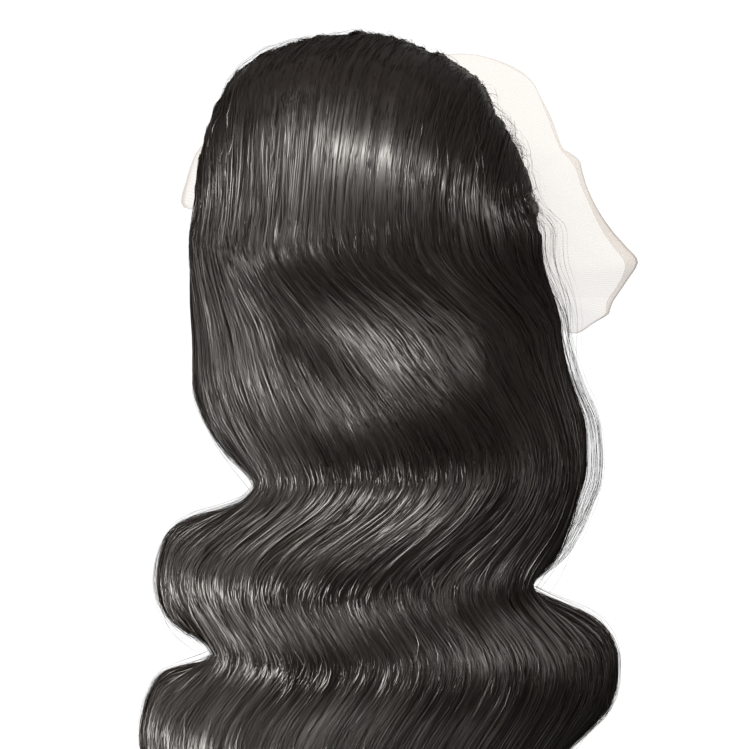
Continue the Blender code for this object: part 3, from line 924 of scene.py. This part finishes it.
def lace_material(settings):
    """Sheer cream net: clear between its threads, with a denser, darker cut edge, and also denser and
    darker towards the hairline.
    """
    made, nodes, links, shader = new_material("lace_net", 0.75, 0.25)
    covers = {"To_Min": settings.thread_cover, "To_Max": settings.open_cover}
    thread = add_node(nodes, "MapRange", From_Min=0.04, From_Max=0.30, **covers)
    links.new(net_cells(nodes, links, 1100, 0.25), thread.inputs["Value"])
    # The edge value makes the lace denser and darker at its cut edge and fold, and also towards the
    # hairline.
    edge = read_attribute(nodes, "edge")
    more = add_math(nodes, "MULTIPLY_ADD", 0.30)
    more.use_clamp = True
    links.new(edge, more.inputs[0])
    links.new(thread.outputs["Result"], more.inputs[2])
    links.new(more.outputs[0], shader.inputs["Alpha"])
    stops = ((0.0, settings.cream), (1.0, settings.edge_and_hairline_colour))
    add_ramp(nodes, links, edge, shader.inputs["Base Color"], *stops)
    return made


def net_material(settings):
    """Dark stretch net: a fine diamond knit."""
    made, nodes, links, shader = new_material("cap_net", 0.85, 0.2)
    cells = net_cells(nodes, links, 520, 0.1, math.radians(45))
    dim = tuple(0.45 * part for part in settings.net)
    add_ramp(nodes, links, cells, shader.inputs["Base Color"], (0.08, settings.net), (0.20, dim))
    add_bump(nodes, links, cells, shader, 0.6, 0.0005).invert = True
    return made


# Sizes and colours


class WigHairSettings(bpy.types.PropertyGroup):
    strand_count: IntProperty(
        name="Strands", description="Long strands over the whole wig", default=6900, min=100
    )
    strand_width: FloatProperty(
        name="Strand width",
        description="Width of one drawn strand, which stands for a few hairs",
        default=0.00027,
        unit="LENGTH",
        precision=5,
    )
    roughness: FloatProperty(
        name="Roughness", description="Roughness of the hair", default=0.33, subtype="FACTOR"
    )
    shine: FloatProperty(name="Shine", description="Strength of the hair's shine", default=1.0)
    dark: FloatVectorProperty(
        name="Dark",
        description="Darkest hair colour",
        default=(0.0048, 0.0036, 0.0030),
        subtype="COLOR",
    )
    light: FloatVectorProperty(
        name="Light",
        description="Lightest hair colour",
        default=(0.023, 0.0155, 0.0115),
        subtype="COLOR",
    )


class WigLaceSettings(bpy.types.PropertyGroup):
    cream: FloatVectorProperty(
        name="Lace", description="Colour of the lace", default=(0.62, 0.55, 0.47), subtype="COLOR"
    )
    # This colour is also what the lace darkens towards near the hairline, not only at the rolled edge.
    edge_and_hairline_colour: FloatVectorProperty(
        name="Cut edge",
        description="Colour of the rolled edge",
        default=(0.40, 0.30, 0.23),
        subtype="COLOR",
    )
    net: FloatVectorProperty(
        name="Cap net",
        description="Colour of the stretch net",
        default=(0.045, 0.036, 0.030),
        subtype="COLOR",
    )
    thread_cover: FloatProperty(
        name="Thread cover", description="How much a lace thread hides", default=0.36, subtype="FACTOR"
    )
    open_cover: FloatProperty(
        name="Open cover",
        description="How much the lace hides between threads",
        default=0.27,
        subtype="FACTOR",
    )


class WigStageSettings(bpy.types.PropertyGroup):
    backdrop: FloatProperty(
        name="Backdrop", description="Brightness of the white backdrop", default=1.05
    )
    ambient: FloatProperty(
        name="Ambient", description="Light that comes from all round", default=0.09
    )


class WIG_OT_cap(bpy.types.Operator):
    """Makes the stretch cap"""

    bl_idname = "wig.cap"
    bl_label = "Stretch cap"

    def execute(self, context):
        settings = context.scene.wig_lace
        net = net_material(settings)

        def on_cap(across, along, grow=0.0):
            turn = (across - 0.5) * math.pi
            rim = read(CAP_RIM, np.abs(np.degrees(turn)), "drop") * NAPE_DROP
            polar = np.arccos(np.clip(1 - rim / CROWN_HEIGHT, -1, 1)) * along
            return head_points(turn, CROWN_HEIGHT * (1 - np.cos(polar)), grow)

        def outside(across, along):
            return on_cap(across, along, CAP_WALL)

        mesh = grid_mesh("stretch_cap", CAP_GRID, CAP_CUT, on_cap, outside)
        cap = new_object("stretch_cap", mesh, net, ("wig_cap",))
        return {"FINISHED"}


class WIG_OT_lace(bpy.types.Operator):
    """Makes the sheer lace front with its uncut margin turned out"""

    bl_idname = "wig.lace"
    bl_label = "Lace front"

    def execute(self, context):
        finish = lace_material(context.scene.wig_lace)
        mesh = grid_mesh("front_lace", LACE_GRID, LACE_CUT, lace_points)
        uv = np.empty(len(mesh.loops) * 2, np.float32)
        mesh.uv_layers["cut"].data.foreach_get("uv", uv)
        spots = np.empty(len(mesh.loops), np.int32)
        mesh.loops.foreach_get("vertex_index", spots)
        place = np.zeros((len(mesh.vertices), 2))
        place[spots] = uv.reshape(-1, 2) / LACE_CUT
        across, along = place[:, 0], place[:, 1]
        near = np.exp(-(((along - MARGIN_END) / 0.008) ** 2)) + 0.22 * (along > MARGIN_END)
        near *= smoothstep(0.14, 0.34, np.abs(across - 0.5))
        # The lace also grows darker and denser towards the hairline. This goes into the same edge value
        # as the cut edge and fold.
        near += 0.60 * np.exp(-np.clip(along - DOME_END, 0, 1) / 0.10) * (along > 0.3)
        shade = mesh.attributes.new("edge", "FLOAT", "POINT")
        shade.data.foreach_set("value", np.clip(near, 0, 1).astype(np.float32))
        lace = new_object("front_lace", mesh, finish, ("lace_front",))
        return {"FINISHED"}


class WIG_OT_hair_body(bpy.types.Operator):
    """Makes the dense body of hair under the strands"""

    bl_idname = "wig.hair_body"
    bl_label = "Body of hair"

    def execute(self, context):
        settings = context.scene.wig_hair
        finish = hair_material("hair_body", settings, (700, 9, 1))
        form = HairForm()

        def both(across, along):
            """Outer and inner points of the dense body, which lies just inside the hair's surfaces."""
            s = along * BODY_END
            u = BODY_FIRST + across * BODY_WIDTH
            outer, inner = form.sample(form.outer, u, s), form.sample(form.inner, u, s)
            outward = unit(outer - inner)
            room = np.linalg.norm(outer - inner, axis=-1, keepdims=True)
            rise = lock_waves(u, s)[0][..., None]
            sink = 0.0016 - rise * 0.8 + 0.006 * smoothstep(BODY_THINS, BODY_END, s)[..., None]
            return (
                outer - outward * np.minimum(sink, room * 0.45),
                inner + outward * np.minimum(0.0008, room * 0.2),
            )

        mesh = grid_mesh(
            "hair_body",
            BODY_GRID,
            BODY_CUT,
            lambda across, along: both(across, along)[0],
            lambda across, along: both(across, along)[1],
        )
        nodes = ["hair_crown"] + sorted(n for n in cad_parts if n.startswith("hair_lock_"))
        new_object("hair_body", mesh, finish, nodes)
        return {"FINISHED"}


class WIG_OT_strands(bpy.types.Operator):
    """Makes the long strands, in bands from the wearer's left to the right"""

    bl_idname = "wig.strands"
    bl_label = "Long strands"

    def execute(self, context):
        settings = context.scene.wig_hair
        finish = hair_material("hair_strand", settings, None)
        form = HairForm()

        def lay(name, u, deep, start, lifts, **more):
            """Adds a piece of strands, most of which end close to the tips of the hair."""
            end = 2.0 - rng.uniform(0, 1, len(u)) ** 2 * TIP_UNEVENNESS
            lift = rng.uniform(*lifts, len(u))
            parts = strands_on(form, rng, u, deep, start, end, lift, settings, **more)
            hair_piece(name, rng, parts, finish)

        each = settings.strand_count // BANDS
        for band in range(BANDS):
            rng = np.random.default_rng(40 + band)
            u = (band + rng.uniform(0, 1, each)) / BANDS
            start = np.where(rng.uniform(0, 1, each) < 0.5, 0.0, rng.uniform(0.05, 0.9, each))
            lay(f"strands_{band + 1}", u, np.zeros(each), start, (-0.0026, -0.0004))
        rng = np.random.default_rng(60)
        count = settings.strand_count // 6
        u = rng.uniform(0, 1, count)
        start = rng.uniform(0.98, 1.05, count)
        lay("strands_inside", u, np.ones(count), start, (-0.0016, 0.0002), points=31)
        count = settings.strand_count // 8
        edge = np.where(rng.uniform(0, 1, count) < 0.5, 0.0, 1.0)
        deep = rng.uniform(0, 1, count)
        start = rng.uniform(0.9, 1.02, count)
        lay("strands_edge", edge, deep, start, (-0.0012, 0.0002), points=60)
        side = rng.uniform(0.0, 0.24, count)
        end_side = side * rng.uniform(0.02, 0.35, count)
        right = rng.uniform(0, 1, count) < 0.5
        first, u = np.where(right, 1 - side, side), np.where(right, 1 - end_side, end_side)
        start = rng.uniform(0, 0.04, count)
        end = rng.uniform(1.0, 1.5, count)
        lift = rng.uniform(-0.0018, 0.0, count)
        flat = np.zeros(count)
        parts = strands_on(form, rng, u, flat, start, end, lift, settings, points=31, first=first)
        hair_piece("strands_side", rng, parts, finish)
        return {"FINISHED"}


class WIG_OT_flyaways(bpy.types.Operator):
    """Makes the loose fine strands round the outline, and the veil of them on the right"""

    bl_idname = "wig.flyaways"
    bl_label = "Flyaways"

    def execute(self, context):
        settings = context.scene.wig_hair
        finish = bpy.data.materials["hair_strand"]
        form = HairForm()
        rng = np.random.default_rng(90)
        babies = baby_hair_paths(rng, BABY_HAIRS, settings)
        hair_piece("baby_hairs", rng, babies, finish)
        parts = []
        for count, *spans, stray in FLYAWAYS[1:]:
            u, root, start, end, lift = (rng.uniform(*span, count) for span in spans)
            made = strands_on(
                form, rng, u, np.zeros(count), start, end, lift, settings,
                points=60, stray=stray, fine=0.62, first=root, arch=True,
            )
            parts.append(made)
        whole = [np.concatenate(group) for group in zip(*parts)]
        hair_piece("flyaways", rng, whole, finish, darkest=0.3)
        return {"FINISHED"}


class WIG_OT_stage(bpy.types.Operator):
    """Makes the floor, the lights and the camera"""

    bl_idname = "wig.stage"
    bl_label = "Stage"

    def execute(self, context):
        settings = context.scene.wig_stage
        scene = context.scene
        bm = bmesh.new()
        bmesh.ops.create_grid(bm, x_segments=2, y_segments=2, size=14)
        bmesh.ops.translate(bm, verts=bm.verts[:], vec=(0, 0, -FLOOR_DROP))
        mesh = bpy.data.meshes.new("floor")
        bm.to_mesh(mesh)
        bm.free()
        floor = bpy.data.objects.new("floor", mesh)
        scene.collection.objects.link(floor)
        white, _, _, shader = new_material("pale_floor", 0.9, 0.5)
        shader.inputs["Base Color"].default_value = (0.9, 0.9, 0.9, 1)
        shader.inputs["Emission Color"].default_value = (1, 1, 1, 1)
        shader.inputs["Emission Strength"].default_value = 1.0
        floor.data.materials.append(white)
        floor.visible_diffuse = floor.visible_glossy = False
        for name, turn, rise, distance, up, width, height, watts, spread in LIGHTS[1:]:
            data = bpy.data.lights.new(name, "AREA")
            data.shape = "RECTANGLE"
            data.size, data.size_y, data.energy = width, height, watts
            data.spread = math.radians(spread)
            data.color = LIGHT_COLOUR
            lamp = bpy.data.objects.new(name, data)
            aim(lamp, math.radians(turn), math.radians(rise), distance, up)
        world = bpy.data.worlds.new("white_studio")
        world.use_nodes = True
        nodes, links = world.node_tree.nodes, world.node_tree.links
        sky = nodes["Background"]
        path = nodes.new("ShaderNodeLightPath")
        level = add_node(nodes, "MapRange", To_Min=settings.ambient, To_Max=settings.backdrop)
        links.new(path.outputs["Is Camera Ray"], level.inputs["Value"])
        links.new(level.outputs["Result"], sky.inputs["Strength"])
        sky.inputs["Color"].default_value = (1, 1, 1, 1)
        scene.world = world
        scene.view_settings.view_transform = "Standard"
        data = bpy.data.cameras.new("view")
        data.sensor_width = SENSOR
        data.lens = SENSOR * VIEW_DISTANCE / FRAME_SIDE
        data.clip_end = 60
        camera = bpy.data.objects.new("view", data)
        aim(camera, VIEW_TURN, VIEW_RISE, VIEW_DISTANCE, VIEW_HEIGHT)
        scene.camera = camera
        return {"FINISHED"}


class WIG_PT_panel(bpy.types.Panel):
    bl_label = "Lace Front Wig"
    bl_idname = "WIG_PT_panel"
    bl_space_type = "VIEW_3D"
    bl_region_type = "UI"
    bl_category = "Wig"

    def draw(self, context):
        layout = self.layout
        for group in (context.scene.wig_hair, context.scene.wig_lace, context.scene.wig_stage):
            for name in group.__annotations__:
                layout.prop(group, name)
        for operator in OPERATORS:
            layout.operator(operator.bl_idname)


SETTINGS = (
    ("wig_hair", WigHairSettings),
    ("wig_lace", WigLaceSettings),
    ("wig_stage", WigStageSettings),
)
OPERATORS = (
    WIG_OT_hair_body,
    WIG_OT_cap,
    WIG_OT_lace,
    WIG_OT_strands,
    WIG_OT_flyaways,
    WIG_OT_stage,
)


def register():
    for name, group in SETTINGS:
        bpy.utils.register_class(group)
        setattr(bpy.types.Scene, name, PointerProperty(type=group))
    for item in (*OPERATORS, WIG_PT_panel):
        bpy.utils.register_class(item)


def unregister():
    for item in reversed((*OPERATORS, WIG_PT_panel)):
        bpy.utils.unregister_class(item)
    for name, group in reversed(SETTINGS):
        delattr(bpy.types.Scene, name)
        bpy.utils.unregister_class(group)


def main():
    register()
    for operator in OPERATORS:
        group, name = operator.bl_idname.split(".")
        getattr(getattr(bpy.ops, group), name)()


if __name__ == "__main__":
    main()
